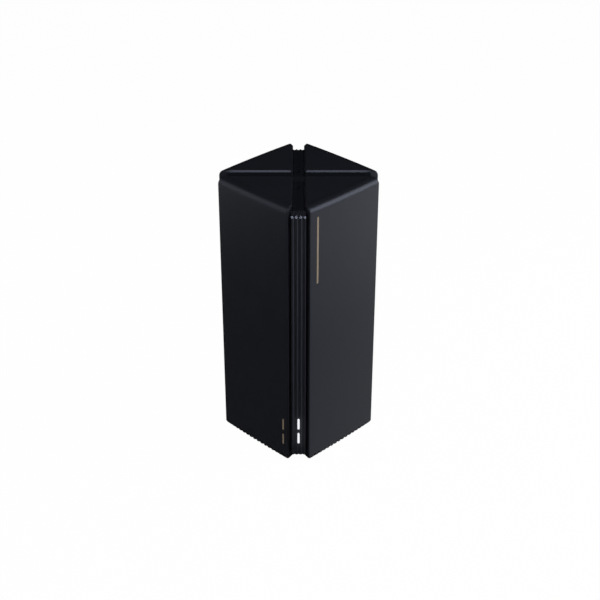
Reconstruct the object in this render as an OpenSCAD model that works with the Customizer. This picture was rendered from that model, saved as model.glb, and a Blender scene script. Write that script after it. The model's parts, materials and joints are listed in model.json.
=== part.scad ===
// Tower-shaped mesh Wi-Fi node: four crowned shells parted by a cross-shaped slot.
// Millimetres, +Z up, origin on the floor under the middle of the feet.
// The lit corner faces -Y, the socket corner faces +Y.

/* [Body] */
// Height of the shells
body_h = 189.8; // [175:0.2:220]
// Distance from the axis to the middle of a face
face_half = 41.9; // [41:0.1:48]
// Radius of the gentle outward crown of a face
face_radius = 690; // [500:10:1500]
// Wall thickness of the shells
wall = 2.2; // [1.8:0.1:2.6]
// Radius of the rounded top edge above a face
top_round = 4.5; // [3:0.1:6]
// Radius of the corner tips in plan
tip_round = 0.8; // [0.6:0.1:1.2]
// Angle at which the tips flare away from the slot
flare = 24; // [15:1:28]
// Start of the flare, measured back from the sharp corner of face and slot
flare_len = 7.8; // [6.5:0.1:9]
// Width of the bevel beside the slot, at the top
slot_bevel = 1; // [0.4:0.1:1.6]
// Radius of the lower corner of each tip, as seen on the face
foot_round = 4.5; // [1:0.1:5.5]
// Depth of the flange that each tip turns back into the slot
flange_depth = 10; // [8:0.5:12]

/* [Slot and strips] */
// Width of the cross-shaped slot
slot_w = 7.4; // [6.8:0.1:8.4]
// Depth of the slot's floor below the top
slot_depth = 4; // [3.2:0.1:8]
// How far the slot's walls go on below its floor
skirt_more = 3; // [2:0.5:5]
// Length of each vent slit in the slot's floor
vent_len = 6.5; // [5:0.5:10]
// Width of each vent slit
vent_w = 1.4; // [1:0.1:2]
// Distance from the axis to the start of a vent slit
vent_start = 9.5; // [6:0.5:12]
// Radial thickness of a corner strip
strip_t = 5.6; // [4.5:0.1:7]
// Half the width of a strip at its ribs
strip_half = 4.6; // [4.2:0.1:5]
// Distance of the strip's ribs behind the corner tips
strip_recess = 0.1; // [0:0.05:0.6]
// Distance between neighbouring ribs of a strip
rib_pitch = 2.65; // [2.2:0.05:3]
// Depth of the grooves between the ribs
rib_depth = 0.7; // [0.3:0.1:1.2]
// Radius over the top end of a strip
strip_round = 3; // [1:0.1:4]
// Height of a strip's lower end above the shells' lower edge
strip_lift = 3.8; // [2:0.1:6]

/* [Status lights] */
// Width of a lit window
light_w = 1.7; // [1.4:0.1:2.4]
// Length of a lit window
light_len = 8.7; // [6:0.1:10.5]
// Distance between the two windows' middles
light_pitch = 11.6; // [11.5:0.1:14]
// Height of the lower window's middle above the shells' lower edge
light_z = 17.2; // [14:0.1:22]

/* [Base] */
// Height of the feet below the shells
foot_h = 1.5; // [1:0.1:3]
// Diameter of a foot
foot_d = 10; // [7:0.5:13]
// Distance of a foot from the axis
foot_r = 31; // [26:0.5:33]
// Height of the base cover above the shells' lower edge
base_lift = 2.2; // [1.8:0.1:3]
// Thickness of the base cover
base_t = 2.6; // [2:0.1:4]
// Width of one intake notch along the lower edge
notch_w = 1.7; // [1:0.1:2.2]
// Height of one intake notch
notch_h = 1.9; // [1.2:0.1:2.2]
// Distance between neighbouring notches
notch_pitch = 3.64; // [3:0.02:4]
// Number of notches along one face
notch_count = 15; // [7:2:15]
// Width of a slot in the base grille
grille_w = 2.4; // [1.6:0.1:3]
// Distance between neighbouring grille slots
grille_pitch = 4.8; // [4.4:0.1:7]
// Diameter of the grille
grille_d = 46; // [30:1:48]

/* [Sockets and buttons] */
// Half the width of the socket panel
panel_half = 12.2; // [11.4:0.1:13]
// Thickness of the socket panel
panel_t = 2; // [1.6:0.1:2.6]
// Distance of the panel behind the shells' cut edges
panel_recess = 0.5; // [0.2:0.1:1.2]
// Height of the power socket above the shells' lower edge
dc_z = 15; // [14:0.5:20]
// Diameter of the power socket's hole
dc_hole = 6.4; // [5.5:0.1:7]
// Diameter of the power socket's pin
dc_pin_d = 2.1; // [1.6:0.1:2.5]
// Distance from the power socket up to the first network jack
jack_gap = 18.5; // [17:0.5:24]
// Distance between neighbouring network jacks
jack_pitch = 17.5; // [16.8:0.1:22]
// Depth of a network jack's body
jack_depth = 18; // [16:0.5:22]
// Diameter of the pairing button
button_d = 8; // [6:0.5:10]
// Travel of the pairing button
button_travel = 0.7; // [0.3:0.1:1]
// Diameter of the reset pinhole
reset_hole = 2; // [1.4:0.1:2.6]
// Travel of the reset button
reset_travel = 0.5; // [0.3:0.1:0.8]

/* [Board and cooling] */
// Thickness of the main board
board_t = 1.6; // [1:0.1:2]
// Thickness of the heat sink's base
sink_t = 3; // [2:0.1:4]
// Number of heat sink fins
fin_count = 10; // [6:1:12]
// Thickness of a fin
fin_t = 1.2; // [0.8:0.1:1.8]
// Gap between the longest reach of the fins and the antennas
fin_gap = 0.4; // [0.3:0.1:6]
// Height of the heat sink along the board
sink_len = 104; // [70:1:110]
// Width of the heat sink across the board
sink_w = 48; // [36:1:50]
// Thickness of the rear heat spreader
spreader_t = 2; // [1:0.1:3]
// Thickness of a thermal pad
pad_t = 0.8; // [0.5:0.1:1.2]

/* [Antennas] */
// Length of an antenna
antenna_len = 45; // [30:1:50]
// Width of an antenna
antenna_w = 11; // [8:0.5:14]
// Thickness of an antenna
antenna_t = 0.8; // [0.5:0.1:1.2]
// Diameter of an antenna lead
lead_d = 1.2; // [0.9:0.1:1.5]

/* [Hidden] */
$fn = 48;

// Directions in plan: the faces look between the axes, the corners along them
front_left = 225;
front_right = 315;
rear_right = 45;
rear_left = 135;
front = 270;
right = 0;
rear = 90;
left = 180;

// Clearances
fit_gap = 0.2;
slide_gap = 0.3;
cut = 1;
root2 = sqrt(2);

// Heights
base_z = foot_h + base_lift;
base_top = base_z + base_t;
body_top = foot_h + body_h;
floor_z = body_top - slot_depth;
skirt_z = floor_z - skirt_more;
frame_t = 2;
frame_z = skirt_z - frame_t;
foot_of_frame = 4;
frame_floor = base_top + foot_of_frame;

// Corner tips in plan, along the diagonal of a corner and across it
slot_half = slot_w / 2;
crown_y = face_half - face_radius;
crown_d = crown_y / root2;
inner_tip = 0.6;
apex_round = 1.2;
flare_start = crown_d + sqrt(face_radius * face_radius - pow(slot_half - crown_d, 2)) - flare_len;
// Middle of the tip arc of radius r that touches the drawn-in face and flare
function tip_mid(face_in, slot_in, r) =
    let (m = tan(flare), a = slot_half - flare_start * m + (slot_in + r) / cos(flare),
         d = face_radius - face_in - r, p = 1 + m * m, q = m * (a - crown_d) - crown_d,
         along = (sqrt(q * q - p * (crown_d * crown_d + pow(a - crown_d, 2) - d * d)) - q) / p)
    [along, a + m * along];
// The same place for a shell whose face looks to +Y and whose tip is on the right
function on_right(place) = [place[0] - place[1], place[0] + place[1]] / root2;
corner_r = tip_mid(0, 0, tip_round)[0] + tip_round;
tip_end = on_right(tip_mid(0, 0, tip_round))[0] + tip_round;
strip_out = corner_r - strip_recess;
strip_back = strip_out - strip_t;
flange_r = corner_r - flange_depth;
post_in = strip_back - 9.6;
post_half = slot_half - slide_gap;

// Socket panel across the rear corner
bay_half = panel_half + fit_gap;
bay_t = face_half - root2 * bay_half;
panel_front = root2 * (face_half - bay_t * bay_t / (2 * face_radius)) - bay_half - panel_recess;
panel_back = panel_front - panel_t;
dc_height = foot_h + dc_z;
jack_w = 16;
jack_h = 13.5;
jack_z = [for (i = [0:2]) dc_height + jack_gap + i * jack_pitch];
reset_z = jack_z[2] + 15;
mesh_z = reset_z + 12;
button_rim = 1.2;
rear_post_foot = mesh_z + button_d / 2 + button_rim + 0.8;
panel_top = rear_post_foot + 7;
panel_foot = foot_h + 0.8;

// Main board, upright beside the axis so that the jacks stand on the axis
board_face = -jack_h / 2;
board_back = board_face - board_t;
board_front_y = -(flange_r - 0.5);
board_rear_y = panel_back - fit_gap;
board_z = frame_floor + 1;
board_top = frame_z - 11;
lug_t = 5;
lug_y = post_in + lug_t / 2;
lug_z = [base_top + 50, board_top - 12];
screw_d = 2.5;
head_d = 4.6;
head_t = 1.6;

// Heat sink stack on the face of the board
chip_t = 1.2;
pad_x = board_face + chip_t;
sink_x = pad_x + pad_t;
jack_back = panel_back - jack_depth;
sink_y = (jack_back - post_in - sink_w) / 2;
sink_top = board_top - 14;
sink_z = sink_top - sink_len;
spreader_x = board_back - pad_t;
sink_screw_in = 4;
sink_screws_at = [for (y = [sink_y + sink_screw_in, sink_y + sink_w - sink_screw_in],
                       z = [sink_z + sink_screw_in, sink_top - sink_screw_in]) [y, z]];
// Chips under the heat sink: middle across, middle up, width, height
sink_mid_y = sink_y + sink_w / 2;
sink_mid_z = sink_z + sink_len / 2;
processor_at = [sink_mid_y, sink_mid_z, 15, 15];
low_band_at = [sink_mid_y, sink_mid_z - 28, 30, 22];
high_band_at = [sink_mid_y, sink_mid_z + 28, 30, 22];
memory_at = [sink_y + 9, sink_mid_z, 8, 11];

// Status lights
light_at = [for (i = [0:1]) foot_h + light_z + i * light_pitch];
led_t = 1;
led_board_t = 1.2;
led_y = post_in + led_t;
pipe_y = led_y + fit_gap;
window_gap = 0.1;

// Buttons behind the panel
button_proud = 0.6;
button_flange = 1.1;
stem_d = 3;
switch_y = panel_back - 6;
switch_t = 4;
switch_w = 6;
plunger_out = 1.4;
plunger_in = 1.6;
reset_d = 3.4;

// Antennas lie on the inner faces of the shells, their leads run above the heat sink
antenna_n = face_half - wall - 0.15;
antenna_z = board_top - antenna_len - 2;
antenna_top = antenna_z + antenna_len;
pad_block = 2;
feed_n = antenna_n - antenna_t - pad_block / 2;
fin_edge_y = max(-sink_y, sink_y + sink_w);
fin_h = root2 * (feed_n - pad_block / 2 - fin_gap) - fin_edge_y - sink_x - sink_t;
feed_z = antenna_top - 3;
lead_z = (board_top + frame_z) / 2;
socket_w = 3;
socket_x = board_face + pad_block / 2;
socket_z = board_top - 6;
socket_y = [-27, -10, 10, 27];

// Points of an arc about a middle, from one angle to another
function arc(mid, r, from, to, steps) =
    [for (i = [0:steps]) let (a = from + (to - from) * i / steps) mid + r * [cos(a), sin(a)]];
// Outline of one shell in plan, face towards +Y, with the face and the slot sides drawn in
// and tips of radius r
function petal(face_in, slot_in, r) =
    let (tip = on_right(tip_mid(face_in, slot_in, r)), lean = atan2(tip[0], tip[1] - crown_y), steps = 10,
         bend = on_right([flare_start - slot_in * tan(flare / 2), slot_half + slot_in]),
         apex = root2 * (slot_half + slot_in + apex_round))
    concat([for (i = [1:steps - 1]) let (a = 90 + lean - 2 * lean * i / steps)
                [0, crown_y] + (face_radius - face_in) * [cos(a), sin(a)]],
           arc(tip, r, 90 - lean, flare - 45, 6), [bend],
           arc([0, apex], apex_round, -45, -135, 4), [[-bend[0], bend[1]]],
           arc([-tip[0], tip[1]], r, 225 - flare, 90 + lean, 6));
// Inset of an edge of radius r at a depth below the top
function round_in(r, depth) = depth >= r ? 0 : r - sqrt(r * r - pow(r - depth, 2));

module petal_plan(face_in, slot_in, r) {
    polygon(petal(face_in, slot_in, r));
}

// Top of a shell: one convex cap through layers that draw in along the face's rounded edge
// and the slot's bevelled ones
module shell_cap() {
    layers = 8;
    sheet = 0.02;
    depths = [for (i = [0:layers]) top_round * (1 - sin(90 * i / layers))];
    hull()
        for (depth = concat(depths, slot_bevel))
            translate([0, 0, body_h - max(depth, sheet)])
            linear_extrude(sheet)
            petal_plan(round_in(top_round, depth), max(0, slot_bevel - depth), tip_round);
}

// Room inside a shell: full walls up in the skirt, only the tips' flanges below it
module shell_room() {
    translate([0, 0, -cut])
        linear_extrude(body_h - wall + cut)
        petal_plan(wall, wall, inner_tip);
    translate([0, 0, -cut])
        linear_extrude(skirt_z - foot_h + cut)
        intersection() {
            petal_plan(wall, -cut, inner_tip);
            rotate(45)
                square(2 * flange_r, center = true);
        }
}

// Row of round-headed intake notches through the lower edge of a face; on the side of the
// socket panel (-1 or 1, or 0 for none) it stops short of the panel's bay
module notches(panel_side) {
    straight = notch_h - notch_w / 2;
    reach = bay_t - 2 * wall;
    for (i = [0:notch_count - 1])
        let (x = (i - (notch_count - 1) / 2) * notch_pitch)
        if (x * panel_side < reach)
            translate([x, face_half - 2 * wall, 0])
            rotate([-90, 0, 0])
            linear_extrude(3 * wall) {
                translate([-notch_w / 2, -straight])
                    square([notch_w, straight + cut]);
                translate([0, -straight])
                    circle(d = notch_w);
            }
}

// Rounds off the lower corner of the tip at the right end of a face
module tip_rounding() {
    translate([tip_end - foot_round, 0, foot_round])
        rotate([-90, 0, 0])
        linear_extrude(corner_r)
        difference() {
            square(foot_round + cut);
            circle(foot_round);
        }
}

boss_d = 6;
boss_h = 12;
boss_n = face_half - wall - boss_d / 2 + 0.4;
// Boss for a base screw, against the inside of a face
module screw_boss() {
    translate([0, boss_n, base_top - foot_h])
        cylinder(d = boss_d, h = boss_h);
}

module shell(dir, panel_side = 0) {
    translate([0, 0, foot_h])
    rotate(dir - 90)
    difference() {
        union() {
            difference() {
                union() {
                    linear_extrude(body_h - top_round)
                        petal_plan(0, 0, tip_round);
                    shell_cap();
                }
                shell_room();
            }
            screw_boss();
        }
        notches(panel_side);
        for (s = [0, 1])
            mirror([s, 0, 0])
            tip_rounding();
        translate([0, boss_n, base_top - foot_h - cut])
            cylinder(d = screw_d, h = boss_h);
    }
}

// Room across the rear corner for the socket panel
module panel_bay() {
    translate([-bay_half, panel_back - fit_gap, -cut])
        cube([2 * bay_half, corner_r, panel_top + fit_gap + cut]);
}
// Room behind the panel for the jacks, where the tips' flanges stop short
module jack_bay() {
    half = slot_half + wall + 0.6;
    translate([-half, flange_r - cut, -cut])
        cube([2 * half, corner_r, panel_top + fit_gap + cut]);
}

shell_colour = [0.12, 0.12, 0.14];
module front_left_shell() {
    color(shell_colour) shell(front_left);
}
module front_right_shell() {
    color(shell_colour) shell(front_right);
}
module rear_left_shell() {
    color(shell_colour) difference() {
        shell(rear_left, 1);
        panel_bay();
        jack_bay();
    }
}
module rear_right_shell() {
    color(shell_colour) difference() {
        shell(rear_right, -1);
        panel_bay();
        jack_bay();
    }
}

// Section of a corner strip: a neck between the slot's sides that widens along the flares,
// with rounded ribs on its outer side
module strip_plan() {
    neck = slot_half - fit_gap;
    neck_end = max(flare_start, strip_back + fit_gap);
    steps = 36;
    ribs = [for (i = [0:steps]) let (x = strip_half * (1 - 2 * i / steps))
                [x, strip_out - rib_depth * (1 - abs(sin(180 * x / rib_pitch)))]];
    polygon(concat([[neck, strip_back], [neck, neck_end]], ribs, [[-neck, neck_end], [-neck, strip_back]]));
}

// Corner strip standing between two heights, its top end rounded over towards the outside
module strip(dir, from, to) {
    rotate(dir - 90)
    intersection() {
        translate([0, 0, from])
            linear_extrude(to - from)
            strip_plan();
        rotate([90, 0, 90])
            linear_extrude(4 * slot_w, center = true)
            polygon(concat([[strip_back - cut, from], [strip_out, from]],
                           arc([strip_out - strip_round, to - strip_round], strip_round, 0, 90, 8),
                           [[strip_back - cut, to]]));
    }
}

strip_colour = [0.14, 0.14, 0.16];
strip_foot = foot_h + strip_lift;
// Upright round-ended window, cut along -Y
module window(w, len, depth) {
    rotate([90, 0, 0])
        linear_extrude(depth) {
            square([w, len - w], center = true);
            for (s = [-1, 1])
                translate([0, s * (len - w) / 2])
                circle(d = w);
        }
}
module front_strip() {
    color(strip_colour) difference() {
        strip(front, strip_foot, floor_z);
        for (z = light_at)
            translate([0, -strip_back + cut, z])
            window(light_w, light_len, strip_t + 2 * cut);
    }
}
module left_strip() {
    color(strip_colour) strip(left, strip_foot, floor_z);
}
module right_strip() {
    color(strip_colour) strip(right, strip_foot, floor_z);
}
module rear_strip() {
    color(strip_colour) strip(rear, panel_top + fit_gap, floor_z);
}

// Floor of the cross-shaped slot with one vent slit in each arm
module vent_cross() {
    color([0.07, 0.07, 0.08]) difference() {
        translate([0, 0, skirt_z])
            linear_extrude(floor_z - skirt_z)
            for (a = [0, 90])
                rotate(a)
                square([2 * strip_back, 2 * (slot_half - fit_gap)], center = true);
        for (a = [front, right, rear, left])
            rotate(a)
            translate([vent_start, -vent_w / 2, skirt_z - cut])
            cube([vent_len, vent_w, floor_z - skirt_z + 2 * cut]);
    }
}

// One radial bar of the frame
module bar(dir, from, to, half, z0, z1) {
    rotate(dir)
        translate([from, -half, z0])
        cube([to - from, 2 * half, z1 - z0]);
}
led_room = light_w + 2;
post_web = 2;
post_edge = 2;
// Lower end of a post's side pockets: above the lights, above the panel or just above the floor
function pocket_z(dir) =
    dir == front ? light_at[1] + light_len : dir == rear ? panel_top + 2 * post_edge : frame_floor + post_edge;
module core_frame() {
    shelf_half = slot_half + wall + 1;
    color([0.2, 0.2, 0.21]) difference() {
        union() {
            for (a = [front, right, left]) {
                bar(a, 0, strip_back, post_half, base_top, frame_floor);
                bar(a, post_in, strip_back, post_half, base_top, skirt_z);
            }
            bar(rear, 0, panel_back - fit_gap, post_half, base_top, frame_floor);
            bar(rear, post_in, panel_back - fit_gap, post_half, rear_post_foot, skirt_z);
            bar(rear, post_in, strip_back, post_half, panel_top + fit_gap, skirt_z);
            for (a = [front, right, rear, left])
                bar(a, 0, flange_r - fit_gap, shelf_half, frame_z, skirt_z);
            for (z = lug_z)
                translate([board_face, -lug_y - lug_t / 2, z - lug_t / 2])
                cube([-board_face, lug_t, lug_t]);
            translate([board_face, lug_y - lug_t / 2, lug_z[1] - lug_t / 2])
                cube([-board_face, lug_t, lug_t]);
        }
        // Side pockets that leave each post a web between two edges
        for (a = [front, right, rear, left], s = [0, 180])
            rotate(a)
            translate([(post_in + strip_back) / 2, 0, 0])
            rotate(s)
            translate([post_edge - (strip_back - post_in) / 2, post_web / 2, pocket_z(a)])
            cube([strip_back - post_in - 2 * post_edge, post_half, frame_z - post_edge - pocket_z(a)]);
        // Air ways under the vent slits
        for (a = [front, right, rear, left])
            bar(a, vent_start, post_in - 2, slot_half - 1, frame_z - cut, skirt_z + cut);
        // Window for the light pipes through the front post
        translate([-led_room / 2, -corner_r, light_at[0] - light_len / 2 - 1])
            cube([led_room, corner_r - post_in + cut, light_pitch + light_len + 2]);
        board_holes();
        panel_holes(screw_d);
    }
}

// Screw places
module board_holes() {
    for (y = [-lug_y, lug_y], z = y < 0 ? lug_z : [lug_z[1]])
        translate([board_back - cut, y, z])
        rotate([0, 90, 0])
        cylinder(d = screw_d, h = board_t + 2 * cut + 4);
}
panel_screw_z = [(rear_post_foot + panel_top) / 2, base_top + foot_of_frame / 2];
module panel_holes(d) {
    for (z = panel_screw_z)
        translate([0, panel_front + cut, z])
        rotate([90, 0, 0])
        cylinder(d = d, h = panel_t + 8);
}

// Base: fills the inside of every shell and the slot between them, clear of the tips' flanges
module base_plan() {
    edge = wall + fit_gap;
    for (a = [front_left, front_right, rear_right, rear_left])
        rotate(a - 90) {
            petal_plan(edge, edge, inner_tip);
            intersection() {
                petal_plan(edge, -slot_half, inner_tip);
                rotate(45)
                    square(2 * (flange_r - fit_gap), center = true);
            }
        }
}
module base_cover() {
    color([0.1, 0.1, 0.11]) difference() {
        translate([0, 0, base_z])
            linear_extrude(base_t)
            base_plan();
        panel_bay();
        for (y = [-grille_pitch * 4:grille_pitch:grille_pitch * 4])
            if (abs(y) < grille_d / 2 - grille_w)
                translate([0, y, base_z - cut])
                linear_extrude(base_t + 2 * cut)
                grille_slot(sqrt(pow(grille_d / 2, 2) - y * y));
        for (a = [front_left, front_right, rear_right, rear_left])
            rotate(a - 90)
            translate([0, boss_n, base_z - cut]) {
                cylinder(d = screw_d + 2 * fit_gap, h = base_t + 2 * cut);
                cylinder(d = head_d + 2 * fit_gap, h = cut + head_t);
            }
        for (a = [front, right, rear, left])
            rotate(a)
            translate([foot_r, 0, base_z - cut])
            cylinder(d = foot_d + 2 * fit_gap, h = cut + foot_seat);
    }
}
module grille_slot(half) {
    square([2 * half - grille_w, grille_w], center = true);
    for (s = [-1, 1])
        translate([s * (half - grille_w / 2), 0])
        circle(d = grille_w);
}

foot_seat = 0.8;
module rubber_feet() {
    edge = 0.6;
    top = base_z + foot_seat;
    color([0.08, 0.08, 0.08])
        for (a = [front, right, rear, left])
            rotate(a)
            translate([foot_r, 0, 0])
            rotate_extrude()
            polygon([[0, 0], [foot_d / 2 - edge, 0], [foot_d / 2, edge], [foot_d / 2, top], [0, top]]);
}

// Screw with a cross recess, head down, its tip along +Z
module screw(len) {
    difference() {
        union() {
            cylinder(d = head_d, h = head_t);
            cylinder(d = screw_d - 2 * fit_gap, h = head_t + len);
        }
        for (a = [0, 90])
            rotate(a)
            translate([-head_d / 4, -0.3, -cut])
            cube([head_d / 2, 0.6, cut + head_t / 2]);
    }
}
module base_screws() {
    color([0.6, 0.6, 0.62])
        for (a = [front_left, front_right, rear_right, rear_left])
            rotate(a - 90)
            translate([0, boss_n, base_z])
            screw(base_t - head_t + boss_h - 3);
}

// Socket panel with its openings
jack_open = [8.6, 12.2];
jack_mid = -0.4;
module port_panel() {
    color([0.1, 0.1, 0.11]) difference() {
        translate([-panel_half, panel_back, panel_foot])
            cube([2 * panel_half, panel_t, panel_top - panel_foot]);
        for (z = jack_z)
            translate([jack_mid, panel_back - cut, z])
            jack_mouth(panel_t + 2 * cut);
        translate([0, panel_back - cut, dc_height])
            rotate([-90, 0, 0])
            cylinder(d = dc_hole + 1.6, h = panel_t + 2 * cut);
        translate([0, panel_back - cut, reset_z])
            rotate([-90, 0, 0])
            cylinder(d = reset_hole, h = panel_t + 2 * cut);
        translate([0, panel_back - cut, mesh_z])
            rotate([-90, 0, 0])
            cylinder(d = button_d + 2 * slide_gap, h = panel_t + 2 * cut);
        panel_holes(screw_d + 2 * fit_gap);
        for (z = panel_screw_z)
            translate([0, panel_front - head_t + panel_t * 0.3, z])
            rotate([-90, 0, 0])
            cylinder(d = head_d + 2 * fit_gap, h = panel_t);
    }
}
// Mouth of a network jack: the plug's block and the two steps for its latch
latch_w = [6.4, 3.4];
latch_h = 1.5;
module jack_mouth(depth) {
    translate([-jack_open[0] / 2, 0, -jack_open[1] / 2])
        cube([jack_open[0], depth, jack_open[1]]);
    for (i = [0:1])
        translate([jack_open[0] / 2 - cut, 0, -latch_w[i] / 2])
        cube([cut + (i + 1) * latch_h, depth, latch_w[i]]);
}
module panel_screws() {
    color([0.3, 0.3, 0.32])
        for (z = panel_screw_z)
            translate([0, panel_front + panel_t * 0.3, z])
            rotate([90, 0, 0])
            screw(6);
}

jack_room = 12.5;
module lan_jack(z) {
    color([0.16, 0.16, 0.17]) difference() {
        translate([board_face, jack_back, z - jack_w / 2])
            cube([jack_h, jack_depth, jack_w]);
        translate([jack_mid, panel_back - jack_room, z])
            jack_mouth(jack_room + cut);
    }
}
module lower_lan_jack() {
    lan_jack(jack_z[0]);
}
module middle_lan_jack() {
    lan_jack(jack_z[1]);
}
module upper_lan_jack() {
    lan_jack(jack_z[2]);
}

// Eight spring wires in each jack, sloping from its back wall down to its floor
contact_w = 0.45;
contact_pitch = 1.02;
module jack_contacts() {
    low = jack_mid - jack_open[0] / 2;
    back = panel_back - jack_room;
    rise = 2.4;
    run = 8.5;
    color([0.85, 0.7, 0.35])
        for (z = jack_z, i = [0:7])
            translate([0, 0, z + (i - 3.5) * contact_pitch - contact_w / 2])
            linear_extrude(contact_w)
            polygon([[low, back + run], [low, back + run + 1], [low + rise, back + contact_w],
                     [low + rise, back], [low + rise - contact_w, back]]);
}

dc_body = [11.5, 14, 10];
dc_room = 9;
module dc_jack() {
    color([0.12, 0.12, 0.12]) difference() {
        translate([board_face, panel_back - dc_body[1], dc_height - dc_body[2] / 2])
            cube(dc_body);
        translate([0, panel_back - dc_room, dc_height])
            rotate([-90, 0, 0])
            cylinder(d = dc_hole, h = dc_room + cut);
    }
}
module dc_pin() {
    color([0.75, 0.75, 0.76])
        translate([0, panel_back - dc_room, dc_height])
        rotate([-90, 0, 0])
        rotate_extrude()
        polygon([[0, 0], [dc_pin_d / 2, 0], [dc_pin_d / 2, dc_room - 1.4], [dc_pin_d / 3, dc_room - 0.8],
                 [0, dc_room - 0.8]]);
}

// Pairing button: a cap through the panel, a flange behind it and a stem to its switch
module mesh_button() {
    flange_front = panel_back - 0.15;
    color([0.16, 0.16, 0.18])
        translate([0, switch_y + plunger_out, mesh_z])
        rotate([-90, 0, 0])
        rotate_extrude()
        polygon([[0, 0], [stem_d / 2, 0], [stem_d / 2, flange_front - button_flange - switch_y - plunger_out],
                 [button_d / 2 + button_rim, flange_front - button_flange - switch_y - plunger_out],
                 [button_d / 2 + button_rim, flange_front - switch_y - plunger_out],
                 [button_d / 2, flange_front - switch_y - plunger_out],
                 [button_d / 2, panel_front + button_proud - 0.5 - switch_y - plunger_out],
                 [button_d / 2 - 0.5, panel_front + button_proud - switch_y - plunger_out],
                 [0, panel_front + button_proud - 0.3 - switch_y - plunger_out]]);
}
module mesh_plunger() {
    color([0.9, 0.9, 0.88])
        translate([0, switch_y - plunger_in, mesh_z])
        rotate([-90, 0, 0])
        cylinder(d = stem_d, h = plunger_in + plunger_out);
}
// Upright push switch on the board: a block with a bore for its plunger
module push_switch(z, bore, travel) {
    color([0.1, 0.1, 0.1]) difference() {
        translate([board_face, switch_y - switch_t, z - switch_w / 2])
            cube([-board_face + switch_w / 2, switch_t, switch_w]);
        translate([0, switch_y - plunger_in - travel - slide_gap, z])
            rotate([-90, 0, 0])
            cylinder(d = bore + 2 * slide_gap, h = switch_t);
    }
}
module mesh_switch() {
    push_switch(mesh_z, stem_d, button_travel);
}
// Reset button: a dished cap close behind its pinhole, on its own stem
module reset_button() {
    cap = 1.4;
    dish = 0.4;
    reach = panel_back - slide_gap - switch_y + plunger_in;
    color([0.8, 0.3, 0.25])
        translate([0, switch_y - plunger_in, reset_z])
        rotate([-90, 0, 0])
        rotate_extrude()
        polygon([[0, 0], [1, 0], [1, reach - cap], [reset_d / 2, reach - cap], [reset_d / 2, reach],
                 [reset_hole / 2, reach], [0, reach - dish]]);
}
module reset_switch() {
    push_switch(reset_z, 2, reset_travel);
}

module main_board() {
    notch = 6;
    color([0.1, 0.35, 0.2]) difference() {
        translate([board_back, board_front_y, board_z])
            cube([board_t, board_rear_y - board_front_y, board_top - board_z]);
        // Corner beside the rear post
        translate([board_back - cut, board_rear_y - notch, panel_top + fit_gap - notch / 2])
            cube([board_t + 2 * cut, notch + cut, body_h]);
        board_holes();
        sink_holes(screw_d + 2 * fit_gap);
    }
}
module board_screws() {
    color([0.7, 0.7, 0.72])
        for (y = [-lug_y, lug_y], z = y < 0 ? lug_z : [lug_z[1]])
            translate([board_back - head_t, y, z])
            rotate([0, 90, 0])
            screw(board_t + 3);
}

// Finned heat sink on the face of the board, its fins upright for the rising air
module heat_sink() {
    fin_step = (sink_w - fin_t) / (fin_count - 1);
    color([0.75, 0.76, 0.78]) difference() {
        union() {
            translate([sink_x, sink_y, sink_z])
                cube([sink_t, sink_w, sink_len]);
            for (i = [0:fin_count - 1])
                translate([sink_x, sink_y + i * fin_step, sink_z])
                cube([sink_t + fin_h, fin_t, sink_len]);
        }
        sink_holes(screw_d);
    }
}
module sink_holes(d) {
    for (p = sink_screws_at)
        translate([spreader_x - spreader_t - cut, p[0], p[1]])
        rotate([0, 90, 0])
        cylinder(d = d, h = sink_x + sink_t - 0.6 - spreader_x + spreader_t + cut);
}
// Plate with folded edges on the back of the board
module heat_spreader() {
    fold = 6;
    color([0.7, 0.71, 0.73]) difference() {
        union() {
            translate([spreader_x - spreader_t, sink_y, sink_z])
                cube([spreader_t, sink_w, sink_len]);
            for (y = [sink_y, sink_y + sink_w - spreader_t])
                translate([spreader_x - spreader_t - fold, y, sink_z + 12])
                cube([fold + spreader_t, spreader_t, sink_len - 24]);
        }
        sink_holes(screw_d + 2 * fit_gap);
    }
}
module sink_screws() {
    color([0.7, 0.7, 0.72])
        for (p = sink_screws_at)
            translate([spreader_x - spreader_t - head_t, p[0], p[1]])
            rotate([0, 90, 0])
            screw(spreader_t + pad_t + board_t + chip_t + pad_t + sink_t - 1);
}
// Block standing on the face of the board
module on_board(at, x0, x1) {
    translate([x0, at[0] - at[2] / 2, at[1] - at[3] / 2])
        cube([x1 - x0, at[2], at[3]]);
}
module thermal_pads() {
    color([0.45, 0.55, 0.65]) {
        for (at = [processor_at, low_band_at, high_band_at, memory_at])
            on_board(at - [0, 0, 1, 1], pad_x, sink_x);
        on_board([sink_mid_y, sink_mid_z, 30, 70], spreader_x, board_back);
    }
}
module processor() {
    color([0.12, 0.12, 0.13]) on_board(processor_at, board_face, pad_x);
}
module memory_chip() {
    color([0.12, 0.12, 0.13]) on_board(memory_at, board_face, pad_x);
}
module low_band_shield() {
    color([0.8, 0.8, 0.8]) on_board(low_band_at, board_face, pad_x);
}
module high_band_shield() {
    color([0.8, 0.8, 0.8]) on_board(high_band_at, board_face, pad_x);
}
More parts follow.
